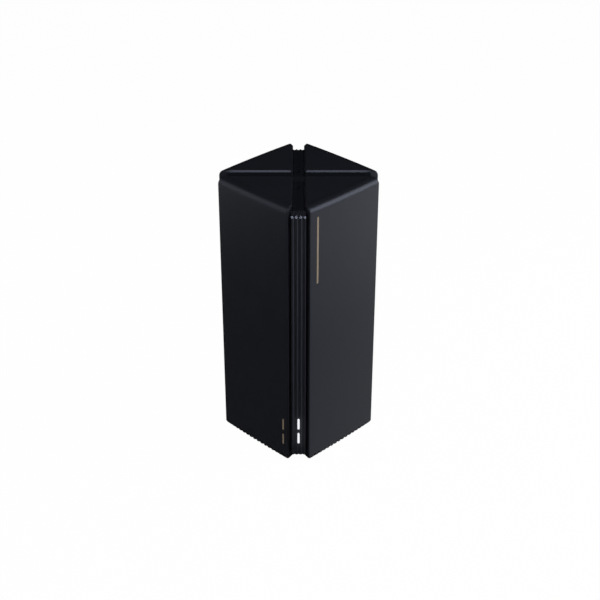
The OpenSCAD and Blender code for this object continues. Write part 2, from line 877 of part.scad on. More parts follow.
// Small parts low on the board: capacitors from the front, then the coils, and the
// line transformers close to the jacks
part_z = board_z + 12;
part_gap = 1.5;
can_d = 6.3;
can_y = led_board_t + 3 + can_d / 2 - post_in;
coil_w = 7;
line_size = [9, 11];
module line_transformers() {
    color([0.1, 0.1, 0.1])
        for (i = [0:1])
            on_board([jack_back - part_gap - line_size[0] / 2,
                      board_z + part_gap + (i + 0.5) * line_size[1] + i, line_size[0], line_size[1]],
                     board_face, board_face + 5.5);
}
module power_coils() {
    coil_y = can_y + 2.5 * can_d + 3 * part_gap + coil_w / 2;
    color([0.25, 0.25, 0.26])
        for (s = [-1, 1])
            on_board([coil_y, part_z + s * (coil_w / 2 + 1), coil_w, coil_w], board_face, board_face + 4);
}
module capacitors() {
    can_h = 7.7;
    color([0.65, 0.66, 0.68])
        for (i = [0:2])
            translate([board_face, can_y + i * (can_d + part_gap), part_z])
            rotate([0, 90, 0])
            cylinder(d = can_d, h = can_h);
}

module led_board() {
    color([0.1, 0.35, 0.2])
        translate([board_face, -post_in, light_at[0] - light_len / 2 - 3])
        cube([-board_face + post_half, led_board_t, light_pitch + light_len + 6]);
}
module status_leds() {
    color([0.95, 0.95, 0.85])
        for (z = light_at)
            translate([-light_w / 2, -led_y, z - 1.5])
            cube([light_w, led_t, 3]);
}
module light_pipe(z) {
    color([0.95, 0.95, 0.97])
        translate([0, -pipe_y, z])
        window(light_w - 2 * window_gap, light_len - 2 * window_gap, strip_out - pipe_y);
}
module upper_light_pipe() {
    light_pipe(light_at[1]);
}
module lower_light_pipe() {
    light_pipe(light_at[0]);
}

// Flat antenna on the inner face of a shell: a slotted plate and its solder block
module antenna(dir) {
    slit = 2;
    color([0.75, 0.5, 0.25])
        rotate(dir - 90)
        union() {
            difference() {
                translate([-antenna_w / 2, antenna_n - antenna_t, antenna_z])
                    cube([antenna_w, antenna_t, antenna_len]);
                translate([-slit / 2, antenna_n - antenna_t - cut, antenna_z + slit])
                    cube([slit, antenna_t + 2 * cut, antenna_len * 0.6]);
                translate([-slit / 2, antenna_n - antenna_t - cut, antenna_z + antenna_len * 0.4])
                    cube([antenna_w, antenna_t + 2 * cut, slit]);
            }
            translate([-pad_block / 2, feed_n - pad_block / 2, feed_z - pad_block])
                cube(pad_block);
        }
}
module front_left_antenna() {
    antenna(front_left);
}
module front_right_antenna() {
    antenna(front_right);
}
module rear_left_antenna() {
    antenna(rear_left);
}
module rear_right_antenna() {
    antenna(rear_right);
}
module antenna_sockets() {
    color([0.85, 0.75, 0.4])
        for (y = socket_y)
            translate([board_face, y - socket_w / 2, socket_z - socket_w / 2])
            cube([pad_block, socket_w, socket_w]);
}

// Rounds a route by cutting its corners, keeping both ends
function soften(p) =
    concat([p[0]],
           [for (i = [0:len(p) - 2]) each [p[i] * 0.75 + p[i + 1] * 0.25, p[i] * 0.25 + p[i + 1] * 0.75]],
           [p[len(p) - 1]]);
// Round tube along a route that lies in one upright plane, whose level normal is side
module tube(route, side, d) {
    sides = 8;
    last = len(route) - 1;
    rings = [for (i = [0:last])
        let (t = i == 0 || i == last ? [0, 0, i == 0 ? 1 : -1] : route[i + 1] - route[i - 1],
             u = cross(side, t / norm(t)))
        for (j = [0:sides - 1]) route[i] + d / 2 * (side * cos(360 * j / sides) + u * sin(360 * j / sides))];
    walls = [for (i = [0:last - 1], j = [0:sides - 1])
        let (a = i * sides + j, b = i * sides + (j + 1) % sides)
        each [[a, a + sides, b], [b, a + sides, b + sides]]];
    caps = [[for (j = [0:sides - 1]) j], [for (j = [sides - 1:-1:0]) last * sides + j]];
    polyhedron(rings, concat(walls, caps), convexity = 4);
}
// Antenna lead: up from the antenna, across below the top of the frame and down to its socket
module lead(dir, y) {
    feed = [feed_n * cos(dir), feed_n * sin(dir), feed_z];
    plug = [socket_x, y, socket_z + socket_w / 2];
    way = [plug[0] - feed[0], plug[1] - feed[1], 0];
    side = cross(way / norm(way), [0, 0, 1]);
    rise = [0, 0, 1];
    route = [feed, feed + rise, [feed[0], feed[1], lead_z - 3], [feed[0], feed[1], lead_z] + way * 0.2,
             [feed[0], feed[1], lead_z] + way * 0.8, [plug[0], plug[1], lead_z - 1], plug + rise, plug];
    color([0.1, 0.1, 0.1]) tube(soften(soften(route)), side, lead_d);
}
module front_left_lead() {
    lead(front_left, socket_y[0]);
}
module front_right_lead() {
    lead(front_right, socket_y[1]);
}
module rear_left_lead() {
    lead(rear_left, socket_y[3]);
}
module rear_right_lead() {
    lead(rear_right, socket_y[2]);
}

front_left_shell();
front_right_shell();
rear_left_shell();
rear_right_shell();
front_strip();
left_strip();
right_strip();
rear_strip();
vent_cross();
core_frame();
base_cover();
rubber_feet();
base_screws();
port_panel();
panel_screws();
mesh_button();
mesh_plunger();
mesh_switch();
reset_button();
reset_switch();
main_board();
board_screws();
lower_lan_jack();
middle_lan_jack();
upper_lan_jack();
jack_contacts();
dc_jack();
dc_pin();
led_board();
status_leds();
upper_light_pipe();
lower_light_pipe();
heat_sink();
heat_spreader();
thermal_pads();
sink_screws();
processor();
memory_chip();
low_band_shield();
high_band_shield();
line_transformers();
power_coils();
capacitors();
antenna_sockets();
front_left_antenna();
front_right_antenna();
rear_left_antenna();
rear_right_antenna();
front_left_lead();
front_right_lead();
rear_left_lead();
rear_right_lead();
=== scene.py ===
import json
import math

import bmesh
import bpy
import numpy as np
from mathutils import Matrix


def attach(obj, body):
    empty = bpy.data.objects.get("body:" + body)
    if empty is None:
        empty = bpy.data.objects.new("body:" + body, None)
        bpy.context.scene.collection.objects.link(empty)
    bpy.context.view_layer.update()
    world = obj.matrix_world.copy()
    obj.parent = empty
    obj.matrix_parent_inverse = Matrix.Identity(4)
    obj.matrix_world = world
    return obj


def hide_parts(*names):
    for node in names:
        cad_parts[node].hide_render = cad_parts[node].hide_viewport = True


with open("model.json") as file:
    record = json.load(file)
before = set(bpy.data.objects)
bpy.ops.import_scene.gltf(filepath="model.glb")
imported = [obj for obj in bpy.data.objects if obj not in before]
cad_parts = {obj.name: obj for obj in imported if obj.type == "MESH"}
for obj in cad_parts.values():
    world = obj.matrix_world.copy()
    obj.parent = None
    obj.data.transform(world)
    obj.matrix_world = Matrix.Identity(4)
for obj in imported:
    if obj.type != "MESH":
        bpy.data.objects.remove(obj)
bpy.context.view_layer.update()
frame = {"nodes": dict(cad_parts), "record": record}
nodes = frame["nodes"]
root2 = math.sqrt(2)
mm = 0.001  # pieces are worked out in millimetres and stored in metres
windowPlaces = (18.7, 30.3)  # heights of the two lit windows
print("frame loaded:", len(nodes), "nodes")


# Shader maths

class Wire:
    # One socket of a node tree. Operators on it add Math nodes, add() adds any other node.
    def __init__(self, tree, socket=None):
        self.tree = tree
        self.socket = socket

    def add(self, kind, settings=None, sockets=None, out=0):
        node = self.tree.nodes.new(kind)
        for key, value in (settings or {}).items():
            if key == "stops":
                ramp = node.color_ramp.elements
                while len(ramp) < len(value):
                    ramp.new(1.0)
                for stop, (place, colour) in zip(ramp, value):
                    stop.position, stop.color = place, colour
            else:
                setattr(node, key, value)
        for key, value in (sockets or {}).items():
            if isinstance(value, Wire):
                self.tree.links.new(value.socket, node.inputs[key])
            else:
                node.inputs[key].default_value = value
        return Wire(self.tree, node.outputs[out] if len(node.outputs) else None)

    def also(self, key):
        # another output of the same node
        return Wire(self.tree, self.socket.node.outputs[key])

    def math(self, operation, first, second=0.0):
        return self.add("ShaderNodeMath", {"operation": operation}, {0: first, 1: second})

    def __add__(self, other):
        return self.math("ADD", self, other)

    def __sub__(self, other):
        return self.math("SUBTRACT", self, other)

    def __rsub__(self, other):
        return self.math("SUBTRACT", other, self)

    def __mul__(self, other):
        return self.math("MULTIPLY", self, other)

    def __truediv__(self, other):
        return self.math("DIVIDE", self, other)

    def __rtruediv__(self, other):
        return self.math("DIVIDE", other, self)

    __radd__, __rmul__ = __add__, __mul__

    def noise(self, vector, scale, detail=2.0):
        return self.add("ShaderNodeTexNoise", None, {"Vector": vector, "Scale": scale, "Detail": detail})

    def mix(self, share, first, second):
        return self.add("ShaderNodeMix", {"data_type": "RGBA"}, {0: share, 6: first, 7: second}, 2)


def newMaterial(name):
    material = bpy.data.materials.new(name)
    material.use_nodes = True
    material.node_tree.nodes.clear()
    return material, Wire(material.node_tree)


def rgba(colour, share=1.0):
    return tuple(min(1.0, c * share) for c in colour) + (1.0,)


def closeMaterial(wire, shader):
    wire.add("ShaderNodeOutputMaterial", None, {"Surface": shader})


# Painted glow: emission round the lit windows stands in for light leaking into the plastic, falling off with
# the square of the distance
def paintedLeakGlow(wire, place, glow):
    x = wire.add("ShaderNodeSeparateXYZ", None, {0: place})
    y, z = x.also("Y"), x.also("Z")
    front = wire.math("LESS_THAN", y, glow["front"])
    reached = 0.0
    for middle in windowPlaces:
        rise = wire.math("MAXIMUM", wire.math("ABSOLUTE", z - middle * mm) - glow["half"], 0.0)
        reached = reached + 1 / (1 + (x * x + rise * rise) / glow["reach"] ** 2)
    return wire.mix(front * reached, rgba((0, 0, 0)), rgba(glow["colour"]))


grainForm = dict(mottleDetail=3.0, press=0.2 * mm)


# A solid finish: mottled colour, uneven gloss and a fine grain pressed into the surface.
# A worn one is smoother above a height, and one with a glow has a painted glow round the windows, standing in
# for their light in the plastic.
def solidFinish(name, look):
    material, wire = newMaterial(name)
    place = wire.add("ShaderNodeTexCoord", out="Object")
    if "stretch" in look:
        place = wire.add("ShaderNodeMapping", None, {"Vector": place, "Scale": look["stretch"]})
    mottle = wire.noise(place, look["mottle"], grainForm["mottleDetail"])
    grain = wire.noise(place, look["grain"])
    spread, uneven = look["spread"], look["uneven"]
    tone = wire.mix(mottle, rgba(look["colour"], 1 - spread), rgba(look["colour"], 1 + spread))
    rough = look["rough"] + (mottle - 0.5) * uneven + (grain - 0.5) * uneven
    if "worn" in look:
        high = wire.add("ShaderNodeSeparateXYZ", None, {0: place}, "Z")
        rough = rough - wire.math("GREATER_THAN", high, look["worn"]["above"]) * look["worn"]["polish"]
    pressed = wire.add("ShaderNodeBump", None,
                       {"Strength": look["depth"], "Distance": grainForm["press"], "Height": grain})
    sockets = {"Base Color": tone, "Roughness": rough, "Normal": pressed,
               "Metallic": look.get("metal", 0.0), "Specular IOR Level": look.get("gloss", 0.5),
               "Specular Tint": rgba(look.get("tint", (1, 1, 1)))}
    # painted glow: emission round the windows stands in for their light in the plastic
    if "glow" in look:
        sockets.update({"Emission Color": paintedLeakGlow(wire, place, look["glow"]), "Emission Strength": 1.0})
    closeMaterial(wire, wire.add("ShaderNodeBsdfPrincipled", None, sockets))
    return material


# A circuit board: solder mask over paler traces, which run as the edges of cells
def boardFinish(name, look):
    material, wire = newMaterial(name)
    place = wire.add("ShaderNodeTexCoord", out="Object")
    cells = wire.add("ShaderNodeTexVoronoi", {"feature": "DISTANCE_TO_EDGE"},
                     {"Vector": place, "Scale": look["cells"]})
    trace = wire.math("LESS_THAN", cells, look["trace"])
    mottle = wire.noise(place, look["mottle"])
    spread = look["spread"]
    mask = wire.mix(mottle, rgba(look["colour"], 1 - spread), rgba(look["colour"], 1 + spread))
    tone = wire.mix(trace, mask, rgba(look["traceColour"]))
    raised = wire.add("ShaderNodeBump", None,
                      {"Strength": look["depth"], "Distance": look["rise"], "Height": trace})
    shader = wire.add("ShaderNodeBsdfPrincipled", None, {
        "Base Color": tone, "Roughness": look["rough"] + mottle * look["uneven"], "Normal": raised})
    closeMaterial(wire, shader)
    return material


# A lit window: frosted light guide, brightest along its middle
def lightFinish(name, look):
    material, wire = newMaterial(name)
    place = wire.add("ShaderNodeTexCoord", out="Object")
    across = wire.add("ShaderNodeSeparateXYZ", None, {0: place}) / look["half"]
    cloud = wire.noise(place, look["cloud"])
    glow = 1 - across * across * look["fall"] - cloud * look["haze"]
    lit = wire.mix(glow, rgba(look["rim"]), rgba(look["core"]))
    shader = wire.add("ShaderNodeBsdfPrincipled", None, {
        "Base Color": rgba(look["body"]), "Roughness": look["rough"] + cloud * look["uneven"],
        "Emission Color": lit, "Emission Strength": look["power"]})
    closeMaterial(wire, shader)
    return material


plasticBlack = dict(colour=(0.0095, 0.0103, 0.0140), spread=0.10, mottle=55.0, grain=3200.0, depth=0.10,
                    rough=0.36, uneven=0.06, gloss=0.32, tint=(0.70, 0.77, 1.0))
# the strip's glow is a painted glow round its windows
stripBlack = {**plasticBlack, "colour": (0.0120, 0.0130, 0.0170), "rough": 0.38, "gloss": 0.55,
              "worn": dict(above=0.1838, polish=0.11),
              "glow": dict(front=-0.04, half=0.0035, reach=0.0018, colour=(0.016, 0.0165, 0.018))}
finishes = {
    "shell": solidFinish("satinShell", plasticBlack),
    "strip": solidFinish("ribbedStrip", stripBlack),
    "slot_floor": solidFinish("slotFloor", {**plasticBlack, "colour": (0.0058, 0.0064, 0.0082),
                                            "rough": 0.6, "gloss": 0.2}),
    "inner_plastic": solidFinish("innerPlastic", {**plasticBlack, "colour": (0.05, 0.05, 0.055),
                                                  "rough": 0.5}),
    "base": solidFinish("sparkedBase", {**plasticBlack, "depth": 0.3, "grain": 1800.0, "rough": 0.6}),
    "rubber": solidFinish("footRubber", {**plasticBlack, "colour": (0.012, 0.012, 0.012), "rough": 0.8,
                                         "gloss": 0.25, "grain": 2200.0}),
    "steel": solidFinish("zincScrew", dict(colour=(0.55, 0.55, 0.57), spread=0.08, mottle=400.0,
                                           grain=2500.0, depth=0.08, rough=0.32, uneven=0.1, metal=1.0)),
    "panel": solidFinish("socketPanel", {**plasticBlack, "depth": 0.22, "grain": 2000.0, "rough": 0.55}),
    "button": solidFinish("buttonCap", {**plasticBlack, "colour": (0.02, 0.02, 0.023), "rough": 0.38}),
    "board": boardFinish("boardMask", dict(colour=(0.012, 0.07, 0.032), traceColour=(0.03, 0.13, 0.06),
                                           cells=420.0, trace=0.05, mottle=90.0, spread=0.15, rough=0.3,
                                           uneven=0.1, depth=0.3, rise=0.04 * mm)),
    "socket": solidFinish("socketBlack", {**plasticBlack, "colour": (0.015, 0.015, 0.016), "rough": 0.5}),
    "contact": solidFinish("goldContact", dict(colour=(0.80, 0.58, 0.24), spread=0.06, mottle=500.0,
                                               grain=2600.0, depth=0.05, rough=0.25, uneven=0.08,
                                               metal=1.0)),
    "light": lightFinish("litWindow", dict(half=0.75 * mm, fall=0.35, haze=0.12, cloud=900.0, power=0.9,
                                           rough=0.25, uneven=0.1, body=(0.20, 0.21, 0.22),
                                           rim=(0.40, 0.42, 0.46), core=(0.95, 0.96, 0.98))),
    "aluminium": solidFinish("extrudedAluminium", dict(colour=(0.66, 0.67, 0.69), spread=0.05, mottle=60.0,
                                                       grain=900.0, depth=0.1, rough=0.38, uneven=0.1,
                                                       metal=1.0, stretch=(1.0, 1.0, 0.04))),
    "thermal_pad": solidFinish("siliconePad", dict(colour=(0.28, 0.38, 0.48), spread=0.06, mottle=200.0,
                                                   grain=1500.0, depth=0.2, rough=0.7, uneven=0.05)),
    "chip": solidFinish("epoxyChip", dict(colour=(0.025, 0.025, 0.026), spread=0.1, mottle=300.0,
                                          grain=2600.0, depth=0.15, rough=0.5, uneven=0.06)),
    "tin": solidFinish("tinShield", dict(colour=(0.60, 0.60, 0.58), spread=0.05, mottle=150.0,
                                         grain=1400.0, depth=0.06, rough=0.35, uneven=0.12, metal=1.0)),
    "antenna": solidFinish("copperAntenna", dict(colour=(0.62, 0.34, 0.18), spread=0.06, mottle=180.0,
                                                 grain=1800.0, depth=0.08, rough=0.35, uneven=0.1,
                                                 metal=1.0)),
    "lead": solidFinish("leadJacket", dict(colour=(0.02, 0.02, 0.02), spread=0.1, mottle=400.0,
                                           grain=2400.0, depth=0.06, rough=0.45, uneven=0.05)),
}
giltFinish = solidFinish("giltRule", dict(colour=(0.24, 0.185, 0.125), spread=0.08, mottle=700.0,
                                          grain=3000.0, depth=0.05, rough=0.5, uneven=0.08))
for part in frame["record"]["subparts"]:
    nodes[part["node"]].data.materials.clear()
    nodes[part["node"]].data.materials.append(finishes[part["material_slot"]])
print("finishes made:", len(finishes) + 1)


# Meshes from arrays

meshForm = dict(seam=2e-6, sliver=1e-6, crease=35.0)  # metres, metres, degrees


def putMesh(name, points, quads, material, crease=meshForm["crease"]):
    # points in millimetres; doubled points close the seams and poles
    mesh = bpy.data.meshes.new(name)
    mesh.from_pydata((np.asarray(points) * mm).tolist(), [], np.asarray(quads).tolist())
    work = bmesh.new()
    work.from_mesh(mesh)
    bmesh.ops.remove_doubles(work, verts=work.verts, dist=meshForm["seam"])
    bmesh.ops.dissolve_degenerate(work, edges=work.edges, dist=meshForm["sliver"])
    bmesh.ops.delete(work, geom=[v for v in work.verts if not v.link_faces], context="VERTS")
    work.to_mesh(mesh)
    work.free()
    mesh.shade_smooth()
    mesh.set_sharp_from_angle(angle=math.radians(crease))
    mesh.materials.append(material)
    piece = bpy.data.objects.new(name, mesh)
    bpy.context.scene.collection.objects.link(piece)
    return piece


# A walled sheet: outer and inner are grids of points (row, column, xyz), solid says which cells are there.
# Every cell gives a quad on both sides, and a rim quad wherever its neighbour is missing.
def wallQuads(solid, rows, columns, closed):
    outer = np.arange(rows * columns).reshape(rows, columns)
    inner = outer + rows * columns
    if closed:
        outer, inner = (np.concatenate([g, g[:, :1]], 1) for g in (outer, inner))
    a, b, c, d = outer[:-1, :-1], outer[:-1, 1:], outer[1:, 1:], outer[1:, :-1]
    e, f, g, h = inner[:-1, :-1], inner[:-1, 1:], inner[1:, 1:], inner[1:, :-1]
    framed = np.pad(solid, 1)
    if closed:
        framed[1:-1, 0], framed[1:-1, -1] = solid[:, -1], solid[:, 0]
    below, above = solid & ~framed[:-2, 1:-1], solid & ~framed[2:, 1:-1]
    before, after = solid & ~framed[1:-1, :-2], solid & ~framed[1:-1, 2:]
    faces = [(solid, (a, b, c, d)), (solid, (h, g, f, e)), (below, (e, f, b, a)),
             (above, (d, c, g, h)), (before, (a, d, h, e)), (after, (b, f, g, c))]
    return np.concatenate([np.stack([corner[where] for corner in quad], 1) for where, quad in faces])


def walledSheet(name, outer, inner, solid, closed, material, crease=meshForm["crease"]):
    rows, columns = outer.shape[:2]
    points = np.concatenate([outer.reshape(-1, 3), inner.reshape(-1, 3)])
    return putMesh(name, points, wallQuads(solid, rows, columns, closed), material, crease)


# Quads between rings: rows of points from pole to pole, each ring going round counter-clockwise.
# Several skins of one shape stand along leading axes.
def ringQuads(shape):
    index = np.arange(math.prod(shape)).reshape(shape)
    index = np.concatenate([index, index[..., :1]], -1)
    quads = np.stack([index[..., :-1, :-1], index[..., :-1, 1:], index[..., 1:, 1:], index[..., 1:, :-1]], -1)
    return quads.reshape(-1, 4)


def ringSkin(name, rings, material):
    return putMesh(name, rings.reshape(-1, 3), ringQuads(rings.shape[:-1]), material)


def turned(points, degrees):
    # the same points after a turn about the upright axis
    c, s = math.cos(math.radians(degrees)), math.sin(math.radians(degrees))
    x, y, z = np.moveaxis(points, -1, 0)
    return np.stack([c * x - s * y, s * x + c * y, z], -1)


def stacked(x, y, z):
    return np.stack(np.broadcast_arrays(x, y, z), -1)


# Shells

shellForm = dict(height=189.8, lift=1.5, faceHalf=41.9, faceRadius=690.0, wall=2.2, crease=20.0,
                 topRound=4.5, tipRound=0.8, innerTip=0.6, innerRound=1.2, footRound=2.2,
                 flare=math.radians(24), flareStart=46.446, slotHalf=3.7, slotBevel=1.0, skirt=7.0,
                 flange=41.466, standBack=0.75, backFrom=28.0, backOver=4.0, bayHalf=12.4, bayTop=108.7,
                 notchWidth=1.7, notchHeight=1.9, notchPitch=3.64, notchEach=7, notchKept=5, headGap=0.4,
                 wallRows=(4.2, 30.0, 70.0), upperRow=145.0, slotColumns=(0.5, 0.8),
                 notchColumns=9, endColumns=4, tipColumns=12, cornerColumns=4, roundSteps=13, topSteps=5)
crownY = shellForm["faceHalf"] - shellForm["faceRadius"]


def fromCorner(along, across):
    # place of a point given along the diagonal of the right corner and across it
    return (along - across) / root2, (along + across) / root2


# Middle of the tip arc of radius r that touches the drawn-in face and flare, and the lean of the face there.
# It lies r inside the flare's line, across = a + m * along, and r inside the circle of the face.
def tipPlace(faceIn, slotIn, r):
    f = shellForm
    m, c = math.tan(f["flare"]), crownY / root2
    a = f["slotHalf"] - f["flareStart"] * m + (slotIn + r) / math.cos(f["flare"])
    p, q = 1 + m * m, m * (a - c) - c
    along = (np.sqrt(q * q - p * (c * c + (a - c) ** 2 - (f["faceRadius"] - faceIn - r) ** 2)) - q) / p
    x, y = fromCorner(along, a + m * along)
    return x, y, np.arctan2(x, y - crownY)


# Outline of a shell in plan, face to +Y, counter-clockwise from the right end of the face: the face is an arc
# about (0, crownY), each tip a small arc between face and flare, the inner corner an arc on the diagonal.
# Rows follow faceIn and slotIn. face runs 1 to -1 along the face, turn and side 0 to 1 along tip and slot.
def outline(faceIn, slotIn, r, face, turn, side):
    f = shellForm
    faceIn, slotIn = np.reshape(faceIn, (-1, 1)), np.reshape(slotIn, (-1, 1))
    x, y, lean = tipPlace(faceIn, slotIn, r)
    a = np.pi / 2 - lean * face
    faceX, faceY = (f["faceRadius"] - faceIn) * np.array([np.cos(a), np.sin(a)])
    b = np.pi / 2 + lean + (0.75 * np.pi - f["flare"] - lean) * turn
    tipX, tipY = r * np.cos(b) - x, r * np.sin(b) + y
    bendX, bendY = fromCorner(f["flareStart"] - slotIn * math.tan(f["flare"] / 2), f["slotHalf"] + slotIn)
    c = np.pi * np.linspace(1.25, 1.5, f["cornerColumns"])
    cornerX = f["innerRound"] * np.cos(c) + 0 * slotIn
    cornerY = f["innerRound"] * np.sin(c) + root2 * (f["slotHalf"] + slotIn + f["innerRound"])
    sideX = (cornerX[:, :1] + bendX) * side - bendX
    sideY = (cornerY[:, :1] - bendY) * side + bendY
    leftX = np.concatenate([tipX, -bendX, sideX, cornerX], 1)
    leftY = np.concatenate([tipY, bendY, sideY, cornerY], 1)
    x = np.concatenate([faceX, leftX, -leftX[:, -2::-1]], 1)
    y = np.concatenate([faceY + crownY, leftY, leftY[:, -2::-1]], 1)
    return x, y


def roundIn(radius, depth):
    # inset of an edge of that radius at a depth below the top
    return radius - np.sqrt(np.maximum(0, radius ** 2 - np.maximum(0, radius - depth) ** 2))


# One shell: the outline carried up a wall whose lower edge is notched, over the rounded top edge and
# across the top to its middle. panelSide is the side where the socket panel's bay is cut away, or 0.
# litSide is the side of the corner with the lights, where the tip stands back a little, or 0.
def buildShell(name, direction, panelSide, litSide):
    f = shellForm
    height, wall, topRound, footRound = f["height"], f["wall"], f["topRound"], f["footRound"]
    tipX, _, leanOut = tipPlace(0.0, 0.0, f["tipRound"])
    leanIn = tipPlace(wall, wall, f["innerTip"])[2]
    bay = [math.acos((root2 * f["bayHalf"] - crownY) / (root2 * r)) - math.pi / 4
           for r in (f["faceRadius"], f["faceRadius"] - wall)]
    # columns along the face: several to a notch, a few to the ends
    perNotch = f["notchColumns"]
    left = f["notchKept"] if panelSide < 0 else f["notchEach"]
    right = f["notchKept"] if panelSide > 0 else f["notchEach"]
    swing = np.sin(np.radians(np.linspace(-90, 90, perNotch)))
    middles = np.arange(right, -left - 1, -1) * f["notchPitch"]
    notchX = middles[:, None] - swing * f["notchWidth"] / 2
    share = np.arcsin(notchX.ravel() / f["faceRadius"]) / leanOut
    ends = np.linspace(0, 1, f["endColumns"] + 1)
    rightEnd, leftEnd = 1 + (share[0] - 1) * ends[:-1], share[-1] + (-1 - share[-1]) * ends[1:]
    faceOut = np.concatenate([rightEnd, share, leftEnd])
    faceIn = faceOut.copy()
    cut = len(rightEnd) - 2 if panelSide > 0 else len(faceOut) - len(leftEnd) + 1
    if panelSide:
        faceOut[cut], faceIn[cut] = panelSide * bay[0] / leanOut, panelSide * bay[1] / leanIn
    turn = np.linspace(0, 1, f["tipColumns"] + 1)[1:]
    flangeShare = (f["flareStart"] - f["flange"]) / (f["flareStart"] - f["slotHalf"] - f["innerRound"])
    side = np.array([flangeShare, *f["slotColumns"]])
    # rows: lower edge, notch heads, wall, skirt, rounded edge, top
    wallZ = np.array([0, 0, *f["wallRows"], f["bayTop"], f["upperRow"], height - f["skirt"]])
    bayRow, skirtRow = len(wallZ) - 3, len(wallZ) - 1
    depth = topRound * (1 - np.sin(np.radians(np.linspace(0, 90, f["roundSteps"]))))
    depth = np.sort(np.append(depth, f["slotBevel"]))[::-1]
    inward = np.linspace(0, 1, f["topSteps"] + 1)[1:]
    lowRows, roundRows, topRows = len(wallZ), len(depth), len(inward)
    outFace = np.concatenate([np.zeros(lowRows), roundIn(topRound, depth), np.full(topRows, topRound)])
    outSlot = np.concatenate([np.zeros(lowRows), np.maximum(0, f["slotBevel"] - depth),
                              np.full(topRows, f["slotBevel"])])
    inRound = topRound - wall
    inDepth = depth * inRound / topRound
    inFace = wall + np.concatenate([np.zeros(lowRows), roundIn(inRound, inDepth), np.full(topRows, inRound)])
    outX, outY = outline(outFace, outSlot, f["tipRound"], faceOut, turn, side)
    inX, inY = outline(inFace, np.full(len(inFace), wall), f["innerTip"], faceIn, turn, side)
    for x in (outX, inX):
        x -= litSide * f["standBack"] * np.clip((litSide * x - f["backFrom"]) / f["backOver"], 0, 1)
    columns = outX.shape[1]
    outRise = np.concatenate([wallZ, height - depth, np.full(topRows, height)])
    inRise = np.concatenate([wallZ, height - wall - inDepth, np.full(topRows, height - wall)])
    outZ, inZ = (np.repeat(rise[:, None], columns, 1) for rise in (outRise, inRise))
    heads = slice(len(rightEnd), len(rightEnd) + len(share))
    straight = f["notchHeight"] - f["notchWidth"] / 2
    tipEnd = tipX + f["tipRound"]
    for x, z in ((outX, outZ), (inX, inZ)):
        # the lower edge curves up at the tips
        past = np.clip(np.abs(x[0]) - tipEnd + footRound, 0, footRound)
        z[0] = footRound - np.sqrt(footRound ** 2 - past ** 2)
        z[1] = np.maximum(straight, z[0] + f["headGap"])
        z[1, heads] += np.tile(np.sqrt(1 - swing ** 2), len(middles)) * f["notchWidth"] / 2
    middleY = outY[lowRows + roundRows - 1].mean()
    for x, y in ((outX, outY), (inX, inY)):
        x[-topRows:] *= 1 - inward[:, None]
        y[-topRows:] += (middleY - y[-topRows:]) * inward[:, None]
    # cells left out: notches, the inner sides below the skirt, the socket panel's bay
    solid = np.ones((len(outZ) - 1, columns), bool)
    notchCells = len(rightEnd) + np.arange(len(middles))[:, None] * perNotch + np.arange(perNotch - 1)
    solid[0, notchCells.ravel()] = False
    faceCount, tipCount = len(faceOut), len(turn) + 1
    solid[:skirtRow, faceCount + tipCount:columns - tipCount - 1] = False
    if panelSide < 0:
        solid[:bayRow, cut:faceCount + tipCount] = False
    if panelSide > 0:
        solid[:bayRow, :cut] = False
        solid[:bayRow, columns - tipCount - 1:] = False
    outer, inner = (turned(stacked(x, y, z + f["lift"]), direction - 90)
                    for x, y, z in ((outX, outY, outZ), (inX, inY, inZ)))
    piece = walledSheet(name, outer, inner, solid, True, finishes["shell"], f["crease"])
    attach(piece, "housing")
    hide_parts(name.removesuffix("_skin"))


for name, *sides in (("front_left_shell", 225, 0, -1), ("front_right_shell", 315, 0, 1),
                     ("rear_left_shell", 135, 1, 0), ("rear_right_shell", 45, -1, 0)):
    buildShell(name + "_skin", *sides)
print("shells built")


# Corner strips

stripForm = dict(out=51.366, back=45.766, neck=3.5, neckEnd=46.446, half=4.6, crease=25.0,
                 ribPitch=2.65, ribDepth=0.7, ribTop=185.15, ledge=0.35, crest=0.8, steep=1.87, slope=4.2,
                 foot=5.3, panelFoot=110.2, top=187.3, windowHalf=0.85, windowLength=8.7,
                 windowColumns=13, sideColumns=36)


